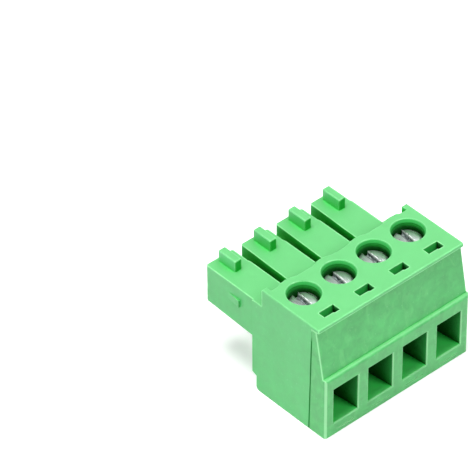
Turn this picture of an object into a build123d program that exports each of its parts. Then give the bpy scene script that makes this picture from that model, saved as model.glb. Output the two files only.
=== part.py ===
from build123d import *
import os

# Pluggable terminal block: the plug half of a four-pole connector with rising-cage screw clamps.
# A moulded housing carries one finger for each pole, and a moulded cover closes it on the wire side.
# X runs along the row of poles, Y from the wire entries to the fingertips, and Z is up.
# The origin is on the base plane, under the middle of the row of clamping screws.
# All lengths are in millimetres.

# Row of poles
pole_count = 4
pole_pitch = 3.81
end_margin = 2.25

# Housing, seen from its end
body_height = 11.1
body_back_y = 3.66
foot_back_y = 3.16
foot_low_z = 1.45
foot_high_z = 1.65
foot_corner_radius = 0.40
step_z = 9.35
plate_back_y = 1.98
plate_front_y = -4.18
plate_lip = 0.33
part_line_low_y = -3.08
part_line_high_y = -3.36
plate_corner_radius = 0.12
edge_radius = 0.10

# Rings of material round the screw holes, and the ears at both ends of the plate
boss_radius = 2.22
boss_blend_radius = 1.00
ear_width = 0.56
ear_back_y = 2.52

# Fingers that hold the contacts, placed from the axis of their pole
finger_centre_offset = -0.77
finger_width = 3.12
finger_draft = 0.14
finger_tip_y = 9.34
finger_root_low_z = 5.41
finger_tip_low_z = 5.65
finger_left_inset = 0.10
finger_right_margin = 0.60
finger_neck_y = 7.15
finger_neck_run = 0.30
finger_neck_step = 0.08
finger_tip_radius = 0.25
finger_keel_radius = 0.35
finger_root = 0.40

# Coding rib on each finger
rib_offset = -0.70
rib_width = 0.72
rib_height = 1.10
rib_start_y = 7.00
rib_end_y = 9.05
rib_tip_radius = 0.13

# Latching wedge on the outer side of both end fingers
wedge_low_z = 7.50
wedge_height = 0.70
wedge_catch_y = 5.20
wedge_length = 1.45
wedge_rise = 0.18

# Clamp chamber, one for each pole
chamber_width = 3.10
chamber_floor_z = 0.65
chamber_roof_z = 8.75
wire_stop_y = 1.90
contact_ledge_z = 4.00
chamber_back_y = 3.10

# Screw hole in the top plate
funnel_radius = 1.45
funnel_depth = 0.45
head_clearance = 0.16
head_seat_z = 9.33
hole_rim = 0.05
neck_clearance = 0.05

# Test slot in front of each screw
test_slot_width = 1.56
test_slot_near_y = -3.27
test_slot_far_y = -2.55
test_slot_jog_x = 0.15
test_slot_jog = 0.10

# Wire entry cover
wire_face_y = -5.06
entry_lip_z = 5.85
entry_lip_run = 0.35
entry_lip_rise = 0.40
slope_top_y = -3.86
slope_corner_radius = 0.16
cover_corner_radius = 0.32
cover_base_radius = 0.08
cover_seam = 0.07
lip_seam = 0.04
face_groove_width = 1.90
face_groove_height = 0.12
face_groove_depth = 0.08
face_groove_z = 0.50
opening_width = 2.68
opening_low_z = 1.27
opening_high_z = 4.88
opening_exit_width = 2.04
opening_rim = 0.08
collar_clearance = 0.06
collar_wall = 0.42
collar_end_y = -2.10

# Clamping screw
screw_head_radius = 1.18
screw_head_height = 0.95
screw_head_edge = 0.14
screw_neck_radius = 1.00
screw_thread_radius = 0.95
screw_tip_chamfer = 0.25
screw_slot_width = 0.50
screw_slot_depth = 0.55
screw_slot_angles = (85.0, 84.0, 85.5, 83.0)
seat_gap = 0.02

# Rising clamp cage
cage_width = 3.00
cage_length = 3.00
cage_side_wall = 0.45
cage_floor = 0.57
cage_roof = 1.10
cage_corner_radius = 0.28
cage_floor_gap = 0.05
cage_window_gap = 0.15
cage_thread_gap = 0.05
grip_groove_count = 4
grip_groove_depth = 0.12
grip_groove_pitch = 0.55

# Female contact with its clamping tongue
tongue_width = 1.94
tongue_thickness = 0.70
tongue_front_y = -1.90
shoulder_width = 2.90
shoulder_front_y = 1.98
riser_thickness = 0.40
leg_thickness = 0.30
leg_height = 1.40
leg_spread = 1.50
leg_pinch = 1.16
leg_pinch_y = 7.60
leg_mouth_y = 8.40
contact_centre_z = 7.38

# Socket inside each finger, and the pin opening at its tip
socket_width = 1.70
socket_height = 2.10
socket_end_y = 8.60
pin_opening_width = 1.30
pin_opening_height = 1.50
pin_lead_in = 0.25

# Derived sizes
body_width = (pole_count - 1) * pole_pitch + 2 * end_margin
half_width = body_width / 2
plate_lip_z = body_height - plate_lip
head_bore_radius = screw_head_radius + head_clearance
cage_low_z = chamber_floor_z + cage_floor_gap
window_low_z = cage_low_z + cage_floor
window_high_z = contact_ledge_z + tongue_thickness + cage_window_gap
cage_high_z = window_high_z + cage_roof
screw_tip_z = contact_ledge_z + tongue_thickness + seat_gap


def pole_x(index):
    """Give the X of one pole's screw axis, counted from the -X end."""
    return (index - (pole_count - 1) / 2) * pole_pitch


def part_line_y(z):
    """Give the Y of the slightly drafted plane between housing and cover at a height."""
    return part_line_low_y + (part_line_high_y - part_line_low_y) * z / plate_lip_z


def outlined(plane, points):
    """Make a face from corners given as (across, up) or as (across, up, corner radius)."""
    corners = [point[:2] for point in points]
    radii = [point[2] if len(point) > 2 else 0 for point in points]
    return make_face(plane * FilletPolyline(*corners, radius=radii, close=True))


def end_profile(points, x_low, x_high):
    """Extrude a closed outline of (y, z) corners along the row."""
    return Pos(x_low, 0, 0) * extrude(outlined(Plane.YZ, points), x_high - x_low, dir=(1, 0, 0))


def plan_profile(points, z_low, z_high):
    """Extrude a closed outline of (x, y) corners upwards."""
    return Pos(0, 0, z_low) * extrude(outlined(Plane.XY, points), z_high - z_low, dir=(0, 0, 1))


def front_profile(outline, y_low, y_high):
    """Extrude a face drawn in X and Z towards the fingertips."""
    return Pos(0, y_low, 0) * extrude(Plane.XZ * outline, y_high - y_low, dir=(0, 1, 0))


def turned(points):
    """Revolve a closed outline of (radius, z) corners about the Z axis."""
    return revolve(outlined(Plane.XZ, points), Axis.Z)


def rounded_at(solid, height, radius):
    """Round every edge that lies at one height."""
    return fillet(solid.edges().filter_by_position(Axis.Z, height - 0.001, height + 0.001), radius)


def finger(index):
    """Make one finger: a plan with a step near the tip, and an underside that rises to the tip."""
    centre = pole_x(index) + finger_centre_offset
    left = centre - finger_width / 2
    left_tip = left + finger_draft
    right = centre + finger_width / 2
    if index == 0:
        left = -half_width + finger_left_inset
        left_tip = left
    if index == pole_count - 1:
        right = pole_x(index) + finger_right_margin
    root_y = body_back_y - finger_root
    plan = plan_profile([
        (left, root_y),
        (left_tip, finger_tip_y, finger_tip_radius),
        (right - finger_neck_step, finger_tip_y, finger_tip_radius),
        (right - finger_neck_step, finger_neck_y + finger_neck_run),
        (right, finger_neck_y),
        (right, root_y),
    ], finger_root_low_z, step_z)
    side = end_profile([
        (root_y, finger_root_low_z),
        (body_back_y, finger_root_low_z),
        (finger_tip_y, finger_tip_low_z, finger_keel_radius),
        (finger_tip_y, step_z, edge_radius),
        (root_y, step_z),
    ], left - finger_width, right + finger_width)
    return plan & side


def coding_rib(index):
    """Make the rib on top of one finger, rounded off towards the tip."""
    centre = pole_x(index) + rib_offset
    top = step_z + rib_height
    root_z = step_z - edge_radius
    rib = end_profile([
        (rib_start_y, root_z),
        (rib_end_y, root_z),
        (rib_end_y, top, rib_tip_radius),
        (rib_start_y, top, edge_radius),
    ], centre - rib_width / 2, centre + rib_width / 2)
    return fillet(rib.faces().sort_by(Axis.Z)[-1].edges().filter_by(Axis.Y), edge_radius)


def latch_wedge(side, face_x):
    """Make the wedge that snaps past the edge of the header's end wall."""
    return plan_profile([
        (face_x - side * wedge_rise, wedge_catch_y),
        (face_x + side * wedge_rise, wedge_catch_y),
        (face_x, wedge_catch_y + wedge_length),
        (face_x - side * wedge_rise, wedge_catch_y + wedge_length),
    ], wedge_low_z, wedge_low_z + wedge_height)


def top_plate():
    """Make the raised plate: its back edge swells round each screw and ends in two ears."""
    ear_x = half_width - ear_width
    outline = outlined(Plane.XY, [
        (-half_width, plate_front_y, plate_corner_radius),
        (half_width, plate_front_y, plate_corner_radius),
        (half_width, ear_back_y),
        (ear_x, ear_back_y),
        (ear_x, plate_back_y),
        (-ear_x, plate_back_y),
        (-ear_x, ear_back_y),
        (-half_width, ear_back_y),
    ])
    for index in range(pole_count):
        outline += Pos(pole_x(index), 0) * Circle(boss_radius)
    plate = Pos(0, 0, step_z) * extrude(outline, body_height - step_z, dir=(0, 0, 1))
    hollows = [
        edge for edge in plate.edges().filter_by(Axis.Z)
        if abs(edge.center().Y - plate_back_y) < 0.001 and abs(edge.center().X) < ear_x - edge_radius
    ]
    plate = rounded_at(fillet(hollows, boss_blend_radius), body_height, edge_radius)
    under_lip = end_profile([
        (plate_front_y - plate_lip, step_z),
        (part_line_y(step_z), step_z),
        (part_line_y(plate_lip_z), plate_lip_z),
        (plate_front_y - plate_lip, plate_lip_z),
    ], -body_width, body_width)
    return plate - under_lip


def screw_hole():
    """Make the stepped hole for one screw: driver funnel, head bore and neck hole."""
    above = body_height + hole_rim
    return turned([
        (0, chamber_roof_z - seat_gap),
        (screw_neck_radius + neck_clearance, chamber_roof_z - seat_gap),
        (screw_neck_radius + neck_clearance, head_seat_z),
        (head_bore_radius, head_seat_z),
        (head_bore_radius, body_height - funnel_depth),
        (funnel_radius, body_height - hole_rim),
        (funnel_radius + 2 * hole_rim, above),
        (0, above),
    ])


def clamp_chamber():
    """Make the room for one cage, with the ledge that carries the contact."""
    mouth_y = part_line_low_y - plate_lip
    return end_profile([
        (mouth_y, chamber_floor_z),
        (wire_stop_y, chamber_floor_z),
        (wire_stop_y, contact_ledge_z),
        (chamber_back_y, contact_ledge_z),
        (chamber_back_y, chamber_roof_z),
        (mouth_y, chamber_roof_z),
    ], -chamber_width / 2, chamber_width / 2)


def flared_mouth(centre, width, height, face_y, inner_y):
    """Make the mouth of a rectangular opening, flared at 45 degrees on all four sides."""
    flare = abs(face_y - inner_y)
    inner = Plane.XZ.offset(-inner_y) * Pos(*centre) * Rectangle(width, height)
    outer = Plane.XZ.offset(-face_y) * Pos(*centre) * Rectangle(width + 2 * flare, height + 2 * flare)
    return loft([inner, outer])


def finger_socket():
    """Make the room for one pair of contact legs, and the pin opening with its lead-in."""
    centre = (finger_centre_offset, contact_centre_z)
    socket = front_profile(Pos(*centre) * Rectangle(socket_width, socket_height),
                           chamber_back_y, socket_end_y)
    opening = front_profile(Pos(*centre) * Rectangle(pin_opening_width, pin_opening_height),
                            socket_end_y, finger_tip_y)
    mouth = flared_mouth(centre, pin_opening_width, pin_opening_height, finger_tip_y,
                         finger_tip_y - pin_lead_in)
    return socket + opening + mouth


def test_slot():
    """Make the slot that lets a test probe down to the clamp, a little wider at its +X end."""
    return plan_profile([
        (-test_slot_width / 2, test_slot_near_y),
        (test_slot_jog_x, test_slot_near_y),
        (test_slot_jog_x + test_slot_jog, test_slot_near_y - test_slot_jog),
        (test_slot_width / 2, test_slot_near_y - test_slot_jog),
        (test_slot_width / 2, test_slot_far_y),
        (-test_slot_width / 2, test_slot_far_y),
    ], chamber_roof_z - seat_gap, body_height + seat_gap)


def make_housing():
    """Make the main moulding: body, top plate, fingers, ribs, wedges and chambers."""
    solid = end_profile([
        (part_line_y(0), 0),
        (foot_back_y, 0, foot_corner_radius),
        (foot_back_y, foot_low_z),
        (body_back_y, foot_high_z),
        (body_back_y, step_z, edge_radius),
        (part_line_y(step_z), step_z),
    ], -half_width, half_width)
    solid += top_plate()
    for index in range(pole_count):
        solid += finger(index) + coding_rib(index)
    solid += latch_wedge(-1, -half_width + finger_left_inset)
    solid += latch_wedge(1, pole_x(pole_count - 1) + finger_right_margin)
    for index in range(pole_count):
        rooms = clamp_chamber() + finger_socket() + screw_hole() + test_slot()
        solid -= Pos(pole_x(index), 0, 0) * rooms
    return solid


def wire_opening():
    """Make one wire opening, with a rim at the face and narrowing towards the cage."""
    draft = (opening_width - opening_exit_width) / 2 / (collar_end_y - wire_face_y)
    wide = opening_width / 2 + draft * seat_gap
    narrow = opening_exit_width / 2 - draft * seat_gap
    centre = (0, (opening_low_z + opening_high_z) / 2)
    mouth = flared_mouth(centre, opening_width, opening_high_z - opening_low_z, wire_face_y,
                         wire_face_y + opening_rim)
    return mouth + plan_profile([
        (-wide, wire_face_y - seat_gap),
        (wide, wire_face_y - seat_gap),
        (narrow, collar_end_y + seat_gap),
        (-narrow, collar_end_y + seat_gap),
    ], opening_low_z, opening_high_z)


def face_groove():
    """Make the shallow groove that runs under one opening in the wire face."""
    return end_profile([
        (wire_face_y - seat_gap, face_groove_z - face_groove_height / 2),
        (wire_face_y, face_groove_z - face_groove_height / 2),
        (wire_face_y + face_groove_depth, face_groove_z),
        (wire_face_y, face_groove_z + face_groove_height / 2),
        (wire_face_y - seat_gap, face_groove_z + face_groove_height / 2),
    ], -face_groove_width / 2, face_groove_width / 2)


def make_cover():
    """Make the wire entry cover: a lip box with a sloped wall above it and a collar at each pole."""
    top_z = plate_lip_z - lip_seam
    lip_top_z = entry_lip_z + entry_lip_rise
    lip_back_y = wire_face_y + entry_lip_run
    behind_y = part_line_low_y + plate_lip
    box = end_profile([
        (part_line_y(0) - cover_seam, 0),
        (wire_face_y, 0, cover_base_radius),
        (wire_face_y, lip_top_z, entry_lip_run),
        (part_line_y(lip_top_z) - cover_seam, lip_top_z),
    ], -half_width, half_width)
    box &= plan_profile([
        (-half_width, wire_face_y, cover_corner_radius),
        (half_width, wire_face_y, cover_corner_radius),
        (half_width, behind_y),
        (-half_width, behind_y),
    ], 0, lip_top_z)
    slope = end_profile([
        (part_line_y(entry_lip_z) - cover_seam, entry_lip_z),
        (lip_back_y, entry_lip_z),
        (lip_back_y, lip_top_z),
        (slope_top_y, top_z),
        (part_line_y(plate_lip_z) - seat_gap, top_z),
        (part_line_y(step_z) - seat_gap, step_z),
        (part_line_y(step_z) - cover_seam, step_z),
    ], -half_width, half_width)
    corners = [
        edge for edge in slope.edges()
        if abs(abs(edge.center().X) - half_width) < 0.001
        and abs(edge.center().Z - (lip_top_z + top_z) / 2) < 0.001
        and edge.center().Y < (lip_back_y + slope_top_y) / 2 + 0.001
    ]
    solid = box + fillet(corners, slope_corner_radius)
    collar_x = chamber_width / 2 - collar_clearance
    collar = plan_profile([
        (-collar_x, part_line_high_y - plate_lip),
        (collar_x, part_line_high_y - plate_lip),
        (collar_x, collar_end_y),
        (-collar_x, collar_end_y),
    ], chamber_floor_z + collar_clearance, opening_high_z + collar_wall)
    for index in range(pole_count):
        solid += Pos(pole_x(index), 0, 0) * collar
    for index in range(pole_count):
        solid -= Pos(pole_x(index), 0, 0) * (wire_opening() + face_groove())
    return solid


def make_screw(angle):
    """Make one slotted clamping screw, with its thread drawn at the pitch diameter."""
    head_low_z = head_seat_z + seat_gap
    head_high_z = head_low_z + screw_head_height
    solid = turned([
        (0, screw_tip_z),
        (screw_thread_radius - screw_tip_chamfer, screw_tip_z),
        (screw_thread_radius, screw_tip_z + screw_tip_chamfer),
        (screw_thread_radius, chamber_roof_z),
        (screw_neck_radius, chamber_roof_z),
        (screw_neck_radius, head_low_z),
        (screw_head_radius, head_low_z),
        (screw_head_radius, head_high_z - screw_head_edge),
        (screw_head_radius - screw_head_edge, head_high_z),
        (0, head_high_z),
    ])
    slot = Box(3 * screw_head_radius, screw_slot_width, screw_slot_depth,
               align=(Align.CENTER, Align.CENTER, Align.MAX))
    return solid - Pos(0, 0, head_high_z) * Rot(0, 0, angle) * slot


def make_cage():
    """Make one clamp cage: a round-cornered sleeve with a threaded roof and a grooved floor."""
    outer = Pos(0, (cage_low_z + cage_high_z) / 2) * RectangleRounded(
        cage_width, cage_high_z - cage_low_z, cage_corner_radius)
    window = Pos(0, (window_low_z + window_high_z) / 2) * Rectangle(
        cage_width - 2 * cage_side_wall, window_high_z - window_low_z)
    solid = front_profile(outer - window, -cage_length / 2, cage_length / 2)
    thread = Cylinder(screw_thread_radius + cage_thread_gap, cage_roof + 2 * seat_gap,
                      align=(Align.CENTER, Align.CENTER, Align.MIN))
    solid -= Pos(0, 0, window_high_z - seat_gap) * thread
    window_x = cage_width / 2 - cage_side_wall
    for groove in range(grip_groove_count):
        y = (groove - (grip_groove_count - 1) / 2) * grip_groove_pitch
        solid -= end_profile([
            (y - grip_groove_depth, window_low_z),
            (y + grip_groove_depth, window_low_z),
            (y, window_low_z - grip_groove_depth),
        ], -window_x, window_x)
    return solid


def contact_leg(side):
    """Make one spring leg: it runs in to the pinch point and flares out at its mouth."""
    root_y = chamber_back_y - riser_thickness
    wide = leg_spread / 2
    pinch = leg_pinch / 2
    leg = plan_profile([
        (side * wide, root_y),
        (side * wide, chamber_back_y + leg_thickness),
        (side * pinch, leg_pinch_y),
        (side * wide, leg_mouth_y),
        (side * (wide - leg_thickness), leg_mouth_y),
        (side * (pinch - leg_thickness), leg_pinch_y),
        (side * (wide - leg_thickness), chamber_back_y + leg_thickness),
        (side * (wide - leg_thickness), root_y),
    ], contact_centre_z - leg_height / 2, contact_centre_z + leg_height / 2)
    return Pos(finger_centre_offset, 0, 0) * leg


def make_contact():
    """Make one stamped contact: clamping tongue, shoulders on the ledge, riser and spring legs."""
    top = contact_ledge_z + tongue_thickness
    solid = plan_profile([
        (-tongue_width / 2, tongue_front_y),
        (tongue_width / 2, tongue_front_y),
        (tongue_width / 2, shoulder_front_y),
        (shoulder_width / 2, shoulder_front_y),
        (shoulder_width / 2, chamber_back_y),
        (-shoulder_width / 2, chamber_back_y),
        (-shoulder_width / 2, shoulder_front_y),
        (-tongue_width / 2, shoulder_front_y),
    ], contact_ledge_z, top)
    leg_top_z = contact_centre_z + leg_height / 2
    riser_left = finger_centre_offset - leg_spread / 2
    riser_right = finger_centre_offset + leg_spread / 2
    riser = outlined(Plane.XY, [
        (riser_left, contact_ledge_z),
        (tongue_width / 2, contact_ledge_z),
        (tongue_width / 2, top + riser_thickness),
        (riser_right, top + tongue_width / 2 + riser_thickness),
        (riser_right, leg_top_z),
        (riser_left, leg_top_z),
    ])
    solid += front_profile(riser, chamber_back_y - riser_thickness, chamber_back_y)
    return solid + contact_leg(-1) + contact_leg(1)


def write_node(name, solid):
    """Write one sub-part to its own file, after checking that it came out as one solid."""
    solids = solid.solids()
    if len(solids) != 1:
        raise ValueError(f"{name} came out as {len(solids)} solids")
    export_step(solids[0], f"parts/{name}.step")
    print(name, round(solids[0].volume, 3))


os.makedirs("parts", exist_ok=True)
write_node("housing", make_housing())
write_node("wire_entry_cover", make_cover())
for pole in range(pole_count):
    pole_place = Pos(pole_x(pole), 0, 0)
    write_node(f"clamp_screw_{pole + 1}", pole_place * make_screw(screw_slot_angles[pole]))
    write_node(f"clamp_cage_{pole + 1}", pole_place * make_cage())
    write_node(f"contact_{pole + 1}", pole_place * make_contact())
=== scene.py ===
import math

import bpy
import bmesh
from mathutils import Matrix, Vector


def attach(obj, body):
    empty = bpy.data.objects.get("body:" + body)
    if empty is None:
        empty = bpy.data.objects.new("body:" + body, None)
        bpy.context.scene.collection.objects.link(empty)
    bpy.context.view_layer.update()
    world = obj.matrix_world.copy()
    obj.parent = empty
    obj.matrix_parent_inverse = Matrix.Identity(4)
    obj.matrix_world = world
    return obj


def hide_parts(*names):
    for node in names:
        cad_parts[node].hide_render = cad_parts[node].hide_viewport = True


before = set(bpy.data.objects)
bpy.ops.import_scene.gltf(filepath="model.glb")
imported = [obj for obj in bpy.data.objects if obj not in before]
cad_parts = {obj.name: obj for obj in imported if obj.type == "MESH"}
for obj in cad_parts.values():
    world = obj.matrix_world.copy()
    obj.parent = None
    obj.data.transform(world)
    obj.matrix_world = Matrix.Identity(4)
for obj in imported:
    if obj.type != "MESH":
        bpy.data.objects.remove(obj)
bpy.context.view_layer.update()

MM = 0.001
POLE_COUNT = 4
POLE_PITCH = 3.81

# Camera, in millimetres and degrees; the focal length is in pixels of the photograph
CAMERA_AZIMUTH = -41.609363
CAMERA_ELEVATION = 40.517392
CAMERA_ROLL = -0.442782
CAMERA_TARGET = (0.0, 2.94, 5.5)
CAMERA_DISTANCE = 351.914838
CAMERA_SHIFT_RIGHT = -7.787899
CAMERA_SHIFT_UP = 4.947393
FOCAL_PIXELS = 4326.9246
PHOTO_PIXELS = 470
SENSOR_WIDTH = 36.0

# Light levels and directions
PANEL_LEVEL = 2.8
ROOM_LEVEL = 0.42
FLOOR_GLOW = 0.52
FLOOR_MIRRORED_GLOW = 0.30
GAP_DIRECTION = (0.43, 0.62, 0.66)
# Side from which the recesses get their painted light
SOFTBOX_DIRECTION = (0.10, -0.85, 0.52)
UP = (0, 0, 1)
LEFT = (-1, 0, 0)
FRONT = (0, -1, 0)

# Clamping screw: lengths in millimetres, slot angles in degrees
SCREW_ANGLES = (85.0, 84.0, 85.5, 83.0)
HEAD_LOW = 9.35
HEAD_HIGH = 10.30
HEAD_RADIUS = 1.18
NECK_LOW = 8.75
NECK_RADIUS = 1.00
TURNED_CORNER = 0.03
SCREW_TIP = 4.72
TIP_FACE_RADIUS = 0.62
TIP_RADIUS = 0.70
TIP_FLARE = 1.1
THREAD_PITCH = 0.40
THREAD_CREST = 0.985
THREAD_ROOT = 0.87
THREAD_STEPS = 84
FLANK_STEEPNESS = 1.35
FLANK_OFFSET = 0.12
SCREW_SIDES = 72
SLOT_LENGTH = 3.0
SLOT_WIDTH = 0.50
SLOT_CUTTER_HEIGHT = 1.10
SLOT_EDGE = 0.08
SAME_CORNER = 0.0002

# How far painted shade reaches in recesses, painted highlights reach at edges and painted shade reaches
# in screw slots, in millimetres
RECESS_REACH = 6.0
EDGE_REACH = 0.14
SLOT_REACH = 1.2

# Places of the painted light, shade and highlights and of the seam line, in millimetres; a name with FROM
# fades in from its first value to its second
RIB_FROM_Z = (9.2, 9.4)
RIB_FROM_Y = (5.0, 5.5)
WEDGE_Y = (5.0, 6.9)
WEDGE_Z = (7.4, 8.3)
WEDGE_FROM_X = (7.0, 7.1)
TEST_SLOT_Y = (-3.45, -2.40)
TEST_SLOT_FROM_Z = (9.2, 9.6)
WIRE_ENTRY_FROM_Y = (-1.8, -2.2)
SIDE_WALL_Y = (-2.0, 2.0)
BORE_Y = (-1.5, 1.5)
BORE_FROM_Z = (9.4, 9.6)
BORE_SHADE_Z = (10.72, 10.34)
FUNNEL_FROM_Z = (10.74, 10.86)
RING_Z = 10.70
RING_FADE = (0.07, 0.03)
FINGER_TOP_FROM_Z = (9.15, 9.25)
FINGER_FROM_Y = (-2.8, -2.7)
PLATE_FROM_Z = (10.5, 10.7)
FRONT_FROM_Y = (-3.65, -3.75)
WITHIN_ENDS_X = (7.8, 7.7)
COVER_CORNER_FROM_Y = (-3.6, -3.7)
SEAM_Y = 3.115
SEAM_SLOPE = 0.026
SEAM_FADE = (0.10, 0.05)
SEAM_BELOW_Z = (10.0, 9.5)
SEAM_FROM_X = (7.85, 7.95)
SLOT_EDGE_FROM_Z = (10.08, 10.13)


# Camera at the photograph's viewing angle
def make_camera():
    azimuth = math.radians(CAMERA_AZIMUTH)
    elevation = math.radians(CAMERA_ELEVATION)
    roll = math.radians(CAMERA_ROLL)
    back = Vector((math.sin(azimuth) * math.cos(elevation),
                   -math.cos(azimuth) * math.cos(elevation), math.sin(elevation)))
    right = Vector((math.cos(azimuth), math.sin(azimuth), 0.0))
    up = back.cross(right)
    rolled_right = right * math.cos(roll) + up * math.sin(roll)
    rolled_up = up * math.cos(roll) - right * math.sin(roll)
    place = Vector(CAMERA_TARGET) + back * CAMERA_DISTANCE
    place = place + rolled_right * CAMERA_SHIFT_RIGHT + rolled_up * CAMERA_SHIFT_UP
    data = bpy.data.cameras.new("photo_camera")
    data.sensor_width = SENSOR_WIDTH
    data.lens = FOCAL_PIXELS / PHOTO_PIXELS * SENSOR_WIDTH
    data.clip_start = 0.01
    data.clip_end = 10.0
    camera = bpy.data.objects.new("photo_camera", data)
    bpy.context.scene.collection.objects.link(camera)
    turn = Matrix((rolled_right, rolled_up, back)).transposed().to_4x4()
    camera.matrix_world = Matrix.Translation(place * MM) @ turn
    bpy.context.scene.camera = camera


# Node graph helper
class Graph:
    def __init__(self, name):
        self.material = bpy.data.materials.new(name)
        self.material.use_nodes = True
        self.tree = self.material.node_tree
        self.tree.nodes.clear()
        self.output = self.add("ShaderNodeOutputMaterial")

    def add(self, kind, inputs=None, **settings):
        node = self.tree.nodes.new(kind)
        for key, value in settings.items():
            setattr(node, key, value)
        for key, value in (inputs or {}).items():
            self.feed(node.inputs[key], value)
        return node

    def feed(self, socket, value):
        if isinstance(value, bpy.types.NodeSocket):
            self.tree.links.new(value, socket)
        else:
            socket.default_value = value

    def coords(self, scale=(1, 1, 1)):
        texture = self.add("ShaderNodeTexCoord")
        mapping = self.add("ShaderNodeMapping", {"Vector": texture.outputs["Object"], "Scale": scale})
        return mapping.outputs["Vector"]

    def normal(self):
        return self.add("ShaderNodeTexCoord").outputs["Normal"]

    def noise(self, vector, scale, detail=2.0, roughness=0.5, distortion=0.0):
        node = self.add("ShaderNodeTexNoise", {"Vector": vector, "Scale": scale, "Detail": detail,
                                               "Roughness": roughness, "Distortion": distortion})
        return node.outputs["Fac"]

    def remap(self, value, low, high, new_low=0.0, new_high=1.0):
        node = self.add("ShaderNodeMapRange", {"Value": value, "From Min": low, "From Max": high,
                                               "To Min": new_low, "To Max": new_high})
        return node.outputs["Result"]

    def fade(self, place, limits):
        """Rise from 0 to 1 between two places in millimetres."""
        return self.remap(place, limits[0] * MM, limits[1] * MM)

    def within(self, place, limits):
        """Give 1 between two places in millimetres and 0 outside them."""
        above = self.maths("GREATER_THAN", place, limits[0] * MM)
        return self.product(above, self.maths("LESS_THAN", place, limits[1] * MM))

    def weaken(self, mask, least):
        """Turn a mask into a factor that falls from 1 to the least value."""
        return self.remap(mask, 0.0, 1.0, 1.0, least)

    def maths(self, operation, a, b=0.0):
        node = self.add("ShaderNodeMath", operation=operation)
        self.feed(node.inputs[0], a)
        self.feed(node.inputs[1], b)
        return node.outputs["Value"]

    def product(self, first, *others):
        for other in others:
            first = self.maths("MULTIPLY", first, other)
        return first

    def largest(self, first, *others):
        for other in others:
            first = self.maths("MAXIMUM", first, other)
        return first

    def size(self, value):
        return self.maths("ABSOLUTE", value)

    def blend(self, factor, a, b):
        node = self.add("ShaderNodeMix", data_type="RGBA")
        self.feed(node.inputs[0], factor)
        self.feed(node.inputs[6], a)
        self.feed(node.inputs[7], b)
        return node.outputs[2]

    def bump(self, height, distance, strength, normal=None):
        inputs = {"Height": height, "Distance": distance, "Strength": strength}
        if normal is not None:
            inputs["Normal"] = normal
        return self.add("ShaderNodeBump", inputs).outputs["Normal"]

    def occlusion(self, reach, **settings):
        inputs = {"Distance": reach * MM}
        return self.add("ShaderNodeAmbientOcclusion", inputs, samples=8, **settings).outputs["AO"]

    def split(self, vector):
        return self.add("ShaderNodeSeparateXYZ", {"Vector": vector}).outputs

    def facing(self, direction):
        node = self.add("ShaderNodeVectorMath", {0: self.normal(), 1: direction}, operation="DOT_PRODUCT")
        return node.outputs["Value"]

    def surface(self, inputs):
        shader = self.add("ShaderNodeBsdfPrincipled", inputs)
        self.tree.links.new(shader.outputs["BSDF"], self.output.inputs["Surface"])
        return self.material


# Cloudy green of the open faces; mottling runs from an even moulding at 0 to a blotchy one at 1; faces
# that look up get a paler painted sheen
def open_green(g, v, clouds, mottle, mottling):
    flow = g.noise(g.coords((1.0, 1.0, 0.45)), 1500.0, detail=2.0, distortion=0.8)
    specks = g.remap(g.noise(v, 5200.0, detail=1.0), 0.71, 0.76)
    mixed = g.maths("ADD", g.remap(clouds, 0.3, 0.7, 0.0, 0.45), g.remap(mottle, 0.32, 0.68, 0.0, 0.55))
    dark = (0.100 - 0.050 * mottling, 0.620 - 0.180 * mottling, 0.180 - 0.075 * mottling, 1)
    light = (0.114 - 0.020 * mottling, 0.660 - 0.010 * mottling, 0.208 - 0.040 * mottling, 1)
    flow_green = (0.160, 0.690, 0.210, 1)
    speck_green = (0.26, 0.76, 0.36, 1)
    top_sheen_green = (0.172, 0.630, 0.220, 1)
    colour = g.blend(mixed, dark, light)
    colour = g.blend(g.remap(flow, 0.56, 0.72, 0.0, 0.35 * mottling), colour, flow_green)
    colour = g.blend(g.product(specks, 0.35), colour, speck_green)
    # Painted sheen on the faces that look up
    return g.blend(g.remap(g.facing(UP), 0.5, 0.95, 0.0, 0.7), colour, top_sheen_green)


# Wall of the screw holes: all of it, with painted shade on its lower part, painted light on its funnel
# and a painted shadow line between
def screw_hole_light_and_shade(g, place, openness, upward):
    bore = g.product(g.within(place["Y"], BORE_Y), g.fade(place["Z"], BORE_FROM_Z),
                     g.remap(openness, 0.90, 0.80), g.maths("SUBTRACT", 1.0, upward))
    shaded_low_wall = g.product(bore, g.fade(place["Z"], BORE_SHADE_Z))
    lit_funnel = g.product(bore, g.fade(place["Z"], FUNNEL_FROM_Z))
    off_ring = g.size(g.maths("SUBTRACT", place["Z"], RING_Z * MM))
    ring = g.product(bore, g.fade(off_ring, RING_FADE))
    return shaded_low_wall, lit_funnel, ring


# Painted light and shade of the recesses: painted light on the test slots, on floors and on walls that
# face the softbox, painted shade on the side walls and on the lower walls of the screw holes, darkest in
# the wire entries
def recess_light_and_shade(g, place, around, lit, floor, shaded_low_wall):
    front_wall_shade_green = (0.003, 0.150, 0.006, 1)
    back_wall_shade_green = (0.010, 0.520, 0.026, 1)
    entry_shade_green = (0.001, 0.020, 0.001, 1)
    lit_green = (0.008, 0.360, 0.024, 1)
    floor_light_green = (0.055, 0.880, 0.130, 1)
    low_wall_shade_green = (0.001, 0.050, 0.002, 1)
    entry = g.product(g.fade(place["Y"], WIRE_ENTRY_FROM_Y), g.remap(around, 0.44, 0.16))
    colour = g.blend(g.fade(place["Y"], SIDE_WALL_Y), front_wall_shade_green, back_wall_shade_green)
    colour = g.blend(entry, colour, entry_shade_green)
    colour = g.blend(lit, colour, lit_green)
    colour = g.blend(floor, colour, floor_light_green)
    return g.blend(shaded_low_wall, colour, low_wall_shade_green)
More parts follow.
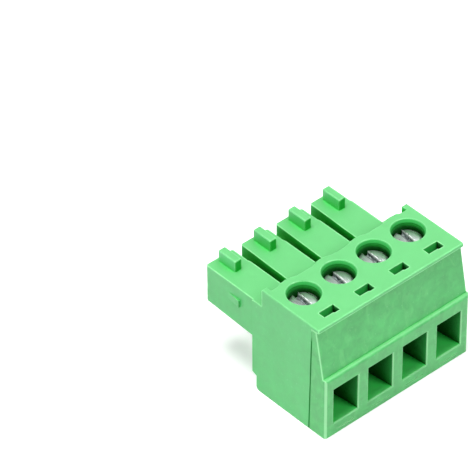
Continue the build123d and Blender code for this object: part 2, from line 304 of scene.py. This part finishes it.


# Painted highlight along the outer edges, broken up along its length and kept to the edges that show one,
# and on the cover's rounded front corners
def edge_highlights(g, v, place, openness):
    highlight_breakup = g.remap(g.noise(v, 900.0, detail=3.0), 0.35, 0.62, 0.45, 1.0)
    edge = g.remap(g.occlusion(EDGE_REACH, inside=True, only_local=True), 0.94, 0.62)
    edge_highlight = g.product(edge, highlight_breakup, g.remap(openness, 0.30, 0.60))
    finger_edge = g.product(g.fade(place["Z"], FINGER_TOP_FROM_Z), g.fade(place["Y"], FINGER_FROM_Y))
    shown = g.largest(g.fade(place["Z"], PLATE_FROM_Z), finger_edge, g.fade(place["Y"], FRONT_FROM_Y),
                      g.fade(g.size(place["X"]), WITHIN_ENDS_X))
    normal = g.split(g.normal())
    diagonal = g.size(g.product(normal["X"], normal["Y"]))
    corner = g.remap(diagonal, 0.28, 0.45, 0.0, 0.8)
    return g.largest(g.product(edge_highlight, shown), g.product(corner, g.fade(place["Y"], COVER_CORNER_FROM_Y)))


# Dark line along the seam between housing and cover, on the two end walls
def seam_line(g, place):
    across = g.maths("ADD", place["Y"], g.product(place["Z"], SEAM_SLOPE))
    off_seam = g.size(g.maths("ADD", across, SEAM_Y * MM))
    line = g.remap(off_seam, SEAM_FADE[0] * MM, SEAM_FADE[1] * MM, 0.0, 0.75)
    return g.product(line, g.fade(place["Z"], SEAM_BELOW_Z), g.fade(g.size(place["X"]), SEAM_FROM_X))


def moulded_green(name, mottling):
    g = Graph(name)
    v = g.coords()
    place = g.split(v)
    clouds = g.noise(v, 260.0, detail=3.0, distortion=0.4)
    mottle = g.noise(v, 1150.0, detail=4.0, roughness=0.6, distortion=0.5)
    grain = g.noise(v, 14000.0, detail=3.0, roughness=0.6)
    colour = open_green(g, v, clouds, mottle, mottling)
    openness = g.occlusion(RECESS_REACH, only_local=True)
    around = g.occlusion(RECESS_REACH)
    upward = g.remap(g.facing(UP), 0.4, 0.9)
    # Painted shade: faces turn darker and deeper green where the part closes in around them, and take the
    # painted light and shade of the recesses where it closes in further
    shade = g.remap(openness, 0.94, 0.55, 0.0, 0.55)
    recess_shade = g.remap(openness, 0.66, 0.36)

    # Coding ribs: painted light on their left sides and more painted shade on their fronts than their
    # shade alone would give them
    rib_side_light_green = (0.180, 0.700, 0.290, 1)
    rib = g.product(g.fade(place["Z"], RIB_FROM_Z), g.fade(place["Y"], RIB_FROM_Y))
    rib_side = g.product(rib, g.remap(g.facing(LEFT), 0.5, 0.9))
    rib_front = g.product(rib, g.remap(g.facing(FRONT), 0.5, 0.9))
    shade = g.product(shade, g.weaken(rib_side, 0.35))
    shade = g.largest(shade, g.product(rib_front, 0.90))
    colour = g.blend(g.product(rib_side, 0.6), colour, rib_side_light_green)

    # Latching wedges, which stand free and so take little shade
    wedge = g.product(g.within(place["Y"], WEDGE_Y), g.within(place["Z"], WEDGE_Z),
                      g.fade(g.size(place["X"]), WEDGE_FROM_X))
    shade = g.product(shade, g.weaken(wedge, 0.35))
    recess_shade = g.product(recess_shade, g.weaken(wedge, 0.35))

    # Painted light, as on lit floors, on faces that look up and on the walls of the test slots that face
    # the softbox
    test_slot = g.product(g.within(place["Y"], TEST_SLOT_Y), g.fade(place["Z"], TEST_SLOT_FROM_Z))
    towards_softbox = g.remap(g.facing(SOFTBOX_DIRECTION), -0.1, 0.85)
    floor = g.largest(upward, g.product(test_slot, towards_softbox))
    shaded_low_wall, lit_funnel, ring = screw_hole_light_and_shade(g, place, openness, upward)
    recess = recess_light_and_shade(g, place, around, towards_softbox, floor, shaded_low_wall)
    lit = g.largest(towards_softbox, floor)
    # Painted shade deep inside the part, weaker where painted light falls
    deep_shade = g.product(g.remap(around, 0.24, 0.05), g.weaken(lit, 0.10))
    edge_highlight = edge_highlights(g, v, place, openness)
    seam = seam_line(g, place)

    # Colours of the painted shade, painted light and painted highlights, and of the seam line
    unlit_shade_green = (0.070, 0.580, 0.140, 1)
    lit_shade_green = (0.022, 0.410, 0.058, 1)
    upward_shade_green = (0.100, 0.390, 0.130, 1)
    lit_funnel_green = (0.080, 0.620, 0.140, 1)
    ring_shadow_green = (0.003, 0.160, 0.010, 1)
    deep_shade_green = (0.001, 0.040, 0.001, 1)
    edge_highlight_green = (0.34 + 0.10 * mottling, 1.0, 0.42 + 0.08 * mottling, 1)
    seam_green = (0.006, 0.230, 0.025, 1)
    shallow = g.blend(lit, unlit_shade_green, lit_shade_green)
    shallow = g.blend(upward, shallow, upward_shade_green)
    colour = g.blend(shade, colour, shallow)
    colour = g.blend(recess_shade, colour, recess)
    # Painted light on the funnels of the screw holes and a painted shadow line below them
    colour = g.blend(g.product(lit_funnel, 0.55), colour, lit_funnel_green)
    colour = g.blend(g.product(ring, 0.75), colour, ring_shadow_green)
    colour = g.blend(deep_shade, colour, deep_shade_green)
    # Painted highlight along the edges
    colour = g.blend(edge_highlight, colour, edge_highlight_green)
    colour = g.blend(seam, colour, seam_green)

    # Reflection is turned down under the painted shade and along the seam line, and kept on open faces
    # that look up
    shine = g.remap(shade, 0.0, 0.5, 0.8, 0.03)
    open_top = g.remap(g.maths("SUBTRACT", upward, recess_shade), 0.0, 1.0, 0.0, 0.6)
    shine = g.product(g.largest(shine, open_top), g.remap(seam, 0.0, 0.7, 1.0, 0.05))
    relief = g.bump(clouds, 0.12 * MM, 0.30)
    relief = g.bump(mottle, 0.03 * MM, 0.35, relief)
    relief = g.bump(grain, 0.007 * MM, 0.6, relief)
    return g.surface({
        "Base Color": colour,
        "Roughness": g.remap(mottle, 0.3, 0.7, 0.30, 0.44),
        "Specular IOR Level": shine,
        "Normal": relief,
        "Subsurface Weight": 0.10,
        "Subsurface Radius": (0.3, 1.0, 0.4),
        "Subsurface Scale": 0.4 * MM,
    })


# Bright zinc of the screws, brushed across, with painted shade in the slots, painted light with scratches
# on the slots' far walls and a painted highlight on one slot edge
def zinc_plate():
    dark_zinc = (0.56, 0.66, 0.61, 1)
    light_zinc = (0.61, 0.71, 0.66, 1)
    streak_zinc = (0.36, 0.43, 0.40, 1)
    slot_shade_zinc = (0.16, 0.17, 0.18, 1)
    scratched_zinc = (0.06, 0.07, 0.08, 1)
    lit_wall_zinc = (0.50, 0.60, 0.58, 1)
    slot_edge_highlight_zinc = (0.98, 1.00, 1.00, 1)
    g = Graph("zinc_plate")
    v = g.coords()
    brush = g.noise(g.coords((1.0, 0.05, 1.0)), 13000.0, detail=4.0, roughness=0.7)
    broad = g.noise(g.coords((1.0, 0.06, 1.0)), 4200.0, detail=2.0)
    patches = g.noise(g.coords((1.0, 0.3, 1.0)), 1100.0, detail=3.0, roughness=0.6, distortion=0.6)
    scratches = g.noise(v, 6500.0, detail=2.0, distortion=0.5)
    colour = g.blend(g.remap(patches, 0.35, 0.65), dark_zinc, light_zinc)
    colour = g.blend(g.remap(brush, 0.50, 0.64, 0.0, 0.7), colour, streak_zinc)
    # Painted shade in the slots, and painted light on their far walls, which face left
    far_side = g.remap(g.facing(LEFT), 0.12, 0.40)
    slot = g.remap(g.occlusion(SLOT_REACH, only_local=True), 0.80, 0.45)
    lit_wall = g.blend(g.remap(scratches, 0.42, 0.60), scratched_zinc, lit_wall_zinc)
    colour = g.blend(slot, colour, g.blend(far_side, slot_shade_zinc, lit_wall))
    # Painted highlight: the upper part of the slot's far edge is painted near white and made less
    # metallic on its wall so that it shows white
    edge = g.product(far_side, g.fade(g.split(v)["Z"], SLOT_EDGE_FROM_Z))
    colour = g.blend(edge, colour, slot_edge_highlight_zinc)
    wall_edge = g.product(edge, g.remap(g.facing(UP), 0.45, 0.20))
    normal = g.bump(broad, 0.06 * MM, 0.15)
    normal = g.bump(brush, 0.01 * MM, 0.35, normal)
    return g.surface({
        "Base Color": colour,
        "Metallic": g.product(g.remap(slot, 0.0, 1.0, 0.88, 0.4), g.weaken(wall_edge, 0.2)),
        "Roughness": g.maths("ADD", g.remap(patches, 0.3, 0.7, 0.24, 0.34), g.product(slot, 0.3)),
        "Normal": normal,
    })


def plated_metal(name, dark, light, rough_low, rough_high):
    g = Graph(name)
    patches = g.noise(g.coords(), 900.0, detail=4.0, roughness=0.6)
    grain = g.noise(g.coords((1.0, 0.15, 1.0)), 8000.0, detail=3.0)
    return g.surface({
        "Base Color": g.blend(g.remap(patches, 0.3, 0.7), dark, light),
        "Metallic": 1.0,
        "Roughness": g.remap(patches, 0.3, 0.7, rough_low, rough_high),
        "Normal": g.bump(grain, 0.008 * MM, 0.5),
    })


def paint(name, material):
    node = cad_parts[name]
    node.data.materials.clear()
    node.data.materials.append(material)


def even_shading(target):
    target.modifiers.new("clean_shading", "WEIGHTED_NORMAL").weight = 100


# World: white to the camera, a dim room to soft light, a ring of panels with one gap to reflections
def make_world():
    world = bpy.data.worlds.new("studio")
    bpy.context.scene.world = world
    world.use_nodes = True
    tree = world.node_tree
    tree.nodes.clear()

    def maths(operation, a, b=0.0):
        node = tree.nodes.new("ShaderNodeMath")
        node.operation = operation
        for socket, value in zip(node.inputs, (a, b)):
            if isinstance(value, bpy.types.NodeSocket):
                tree.links.new(value, socket)
            else:
                socket.default_value = value
        return node.outputs["Value"]

    def smooth(value, low, high, new_low, new_high):
        node = tree.nodes.new("ShaderNodeMapRange")
        node.interpolation_type = "SMOOTHSTEP"
        tree.links.new(value, node.inputs["Value"])
        node.inputs["From Min"].default_value = low
        node.inputs["From Max"].default_value = high
        node.inputs["To Min"].default_value = new_low
        node.inputs["To Max"].default_value = new_high
        return node.outputs["Result"]

    direction = tree.nodes.new("ShaderNodeTexCoord").outputs["Generated"]
    height = tree.nodes.new("ShaderNodeSeparateXYZ")
    tree.links.new(direction, height.inputs["Vector"])
    ring_foot = smooth(height.outputs["Z"], 0.28, 0.50, 0.10, 1.0)
    ring_top = smooth(height.outputs["Z"], 0.76, 0.95, 1.0, 0.15)
    gap = tree.nodes.new("ShaderNodeVectorMath")
    gap.operation = "DOT_PRODUCT"
    gap.inputs[1].default_value = GAP_DIRECTION
    tree.links.new(direction, gap.inputs[0])
    ring = maths("MULTIPLY", maths("MULTIPLY", ring_foot, ring_top),
                 smooth(gap.outputs["Value"], 0.955, 0.985, 1.0, 0.12))
    path = tree.nodes.new("ShaderNodeLightPath")
    glossy = path.outputs["Is Glossy Ray"]
    room = smooth(height.outputs["Z"], 0.25, 0.50, ROOM_LEVEL, 0.3 * ROOM_LEVEL)
    level = maths("ADD", maths("MULTIPLY", glossy, maths("MULTIPLY", ring, PANEL_LEVEL)),
                  maths("MULTIPLY", maths("SUBTRACT", 1.0, glossy), room))
    seen = maths("MAXIMUM", path.outputs["Is Camera Ray"], path.outputs["Is Transmission Ray"])
    level = maths("ADD", seen, maths("MULTIPLY", maths("SUBTRACT", 1.0, seen), level))
    background = tree.nodes.new("ShaderNodeBackground")
    tree.links.new(level, background.inputs["Strength"])
    output = tree.nodes.new("ShaderNodeOutputWorld")
    tree.links.new(background.outputs[0], output.inputs["Surface"])


# Pale floor just under the part
def make_floor():
    reach = 0.6
    drop = 0.02 * MM
    light_grey = (0.82, 0.82, 0.82, 1)
    pale_grey = (0.78, 0.78, 0.78, 1)
    mesh = bpy.data.meshes.new("floor")
    corners = [(-reach, -reach, 0), (reach, -reach, 0), (reach, reach, 0), (-reach, reach, 0)]
    mesh.from_pydata(corners, [], [(0, 1, 2, 3)])
    floor = bpy.data.objects.new("floor", mesh)
    bpy.context.scene.collection.objects.link(floor)
    floor.location = (0, 0, -drop)
    g = Graph("pale_floor")
    noise = g.noise(g.coords(), 40.0, detail=3.0)
    shade = g.blend(g.remap(noise, 0.3, 0.7), pale_grey, light_grey)
    diffuse = g.add("ShaderNodeBsdfDiffuse", {"Color": shade, "Roughness": 0.5})
    path = g.add("ShaderNodeLightPath")
    mirrored = g.largest(path.outputs["Is Glossy Ray"], path.outputs["Is Transmission Ray"])
    seen = g.product(path.outputs["Is Camera Ray"], FLOOR_GLOW)
    level = g.largest(g.product(mirrored, FLOOR_MIRRORED_GLOW), seen)
    glow = g.add("ShaderNodeEmission", {"Color": (1, 1, 1, 1), "Strength": level})
    both = g.add("ShaderNodeAddShader")
    g.tree.links.new(diffuse.outputs[0], both.inputs[0])
    g.tree.links.new(glow.outputs[0], both.inputs[1])
    g.tree.links.new(both.outputs[0], g.output.inputs["Surface"])
    mesh.materials.append(g.material)


# Round area lamp that looks at the middle of the part, in metres and watts
def add_lamp(name, place, size, power):
    data = bpy.data.lights.new(name, "AREA")
    data.shape = "DISK"
    data.size = size
    data.energy = power
    lamp = bpy.data.objects.new(name, data)
    bpy.context.scene.collection.objects.link(lamp)
    lamp.location = place
    towards = Vector((0, 0, 0.005)) - Vector(place)
    lamp.rotation_euler = towards.to_track_quat("-Z", "Y").to_euler()


def thread_radius(z, turn):
    """Radius of the rolled thread at a height and at a share of one turn."""
    wave = abs(((z - SCREW_TIP) / THREAD_PITCH - turn) % 1.0 * 2 - 1)
    flank = min(1.0, max(0.0, wave * FLANK_STEEPNESS - FLANK_OFFSET))
    radius = THREAD_ROOT + (THREAD_CREST - THREAD_ROOT) * flank
    return min(radius, TIP_RADIUS + (z - SCREW_TIP) * TIP_FLARE)


def screw_levels():
    """Heights and radii from the tip up; a level without a radius lies on the thread."""
    thread_start = SCREW_TIP + 0.02
    thread_length = NECK_LOW - 0.12 - SCREW_TIP
    levels = [(SCREW_TIP, TIP_FACE_RADIUS), (SCREW_TIP, TIP_RADIUS)]
    for step in range(THREAD_STEPS + 1):
        levels.append((thread_start + thread_length * step / THREAD_STEPS, None))
    levels += [
        (NECK_LOW - TURNED_CORNER, 0.90),
        (NECK_LOW, NECK_RADIUS - TURNED_CORNER),
        (NECK_LOW + TURNED_CORNER, NECK_RADIUS),
        (HEAD_LOW, NECK_RADIUS),
        (HEAD_LOW, HEAD_RADIUS - TURNED_CORNER),
        (HEAD_LOW + TURNED_CORNER, HEAD_RADIUS),
        (HEAD_HIGH - 0.17, HEAD_RADIUS),
        (HEAD_HIGH - 0.14, HEAD_RADIUS - 0.01),
        (HEAD_HIGH - 0.09, HEAD_RADIUS - 0.12),
        (HEAD_HIGH - 0.06, HEAD_RADIUS - 0.17),
        (HEAD_HIGH - 0.03, 0.72),
        (HEAD_HIGH - 0.01, 0.40),
        (HEAD_HIGH, 0.10),
    ]
    return levels


def screw_blank():
    bm = bmesh.new()
    rings = []
    for z, radius in screw_levels():
        ring = []
        for side in range(SCREW_SIDES):
            turn = side / SCREW_SIDES
            r = thread_radius(z, turn) if radius is None else radius
            ring.append(bm.verts.new((r * math.cos(turn * math.tau), r * math.sin(turn * math.tau), z)))
        rings.append(ring)
    for low, high in zip(rings, rings[1:]):
        for side in range(SCREW_SIDES):
            after = (side + 1) % SCREW_SIDES
            bm.faces.new((low[side], low[after], high[after], high[side]))
    bm.faces.new(list(reversed(rings[0])))
    bm.faces.new(rings[-1])
    return mesh_object("screw_blank", bm)


def slot_cutter(angle):
    bm = bmesh.new()
    bmesh.ops.create_cube(bm, size=1.0)
    bmesh.ops.scale(bm, vec=(SLOT_LENGTH, SLOT_WIDTH, SLOT_CUTTER_HEIGHT), verts=bm.verts)
    turn = Matrix.Rotation(math.radians(angle), 3, "Z")
    bmesh.ops.rotate(bm, cent=(0, 0, 0), matrix=turn, verts=bm.verts)
    bmesh.ops.translate(bm, vec=(0, 0, HEAD_HIGH), verts=bm.verts)
    return mesh_object("slot_cutter", bm)


def mesh_object(name, bm):
    mesh = bpy.data.meshes.new(name)
    bm.to_mesh(mesh)
    bm.free()
    made = bpy.data.objects.new(name, mesh)
    bpy.context.scene.collection.objects.link(made)
    return made


# One clamping screw: the turned blank is slotted, its slot edges rounded and doubled corners joined
def make_screw(index):
    blank = screw_blank()
    cutter = slot_cutter(SCREW_ANGLES[index])
    cut = blank.modifiers.new("slot", "BOOLEAN")
    cut.object = cutter
    cut.operation = "DIFFERENCE"
    cut.solver = "EXACT"
    bpy.context.view_layer.update()
    depsgraph = bpy.context.evaluated_depsgraph_get()
    final = bpy.data.meshes.new_from_object(blank.evaluated_get(depsgraph))
    bpy.data.objects.remove(blank)
    bpy.data.objects.remove(cutter)
    x = (index - (POLE_COUNT - 1) / 2) * POLE_PITCH
    final.transform(Matrix.Translation((x * MM, 0, 0)) @ Matrix.Scale(MM, 4))
    final.name = f"screw_{index + 1}"
    screw = bpy.data.objects.new(f"screw_{index + 1}", final)
    bpy.context.scene.collection.objects.link(screw)
    edges = screw.modifiers.new("slot_edges", "BEVEL")
    edges.width = SLOT_EDGE * MM
    edges.segments = 2
    edges.limit_method = "ANGLE"
    edges.angle_limit = math.radians(60)
    edges.use_clamp_overlap = False
    edges.harden_normals = True
    screw.modifiers.new("joined_corners", "WELD").merge_threshold = SAME_CORNER * MM
    return screw


make_camera()
make_floor()
make_world()
add_lamp("top_key", place=(-0.06, 0.01, 0.35), size=0.15, power=1.06)
add_lamp("left_low", place=(-0.30, 0.02, 0.12), size=0.18, power=0.20)
add_lamp("front_high", place=(0.09, -0.22, 0.24), size=0.16, power=0.38)
green = moulded_green("moulded_green", 0.35)
cover_green = moulded_green("cover_green", 1.0)
zinc = zinc_plate()
nickel = plated_metal("nickel_plate", (0.58, 0.56, 0.52, 1), (0.74, 0.72, 0.67, 1), 0.24, 0.42)
tin = plated_metal("tin_plate", (0.66, 0.66, 0.64, 1), (0.80, 0.79, 0.77, 1), 0.30, 0.50)
for name, material in (("housing", green), ("wire_entry_cover", cover_green)):
    paint(name, material)
    even_shading(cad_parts[name])
for index in range(POLE_COUNT):
    paint(f"clamp_cage_{index + 1}", nickel)
    paint(f"contact_{index + 1}", tin)
    screw = make_screw(index)
    screw.data.materials.clear()
    screw.data.materials.append(zinc)
    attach(screw, f"screw_{index + 1}")
    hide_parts(f"clamp_screw_{index + 1}")

scene = bpy.context.scene
scene.view_settings.view_transform = "Standard"
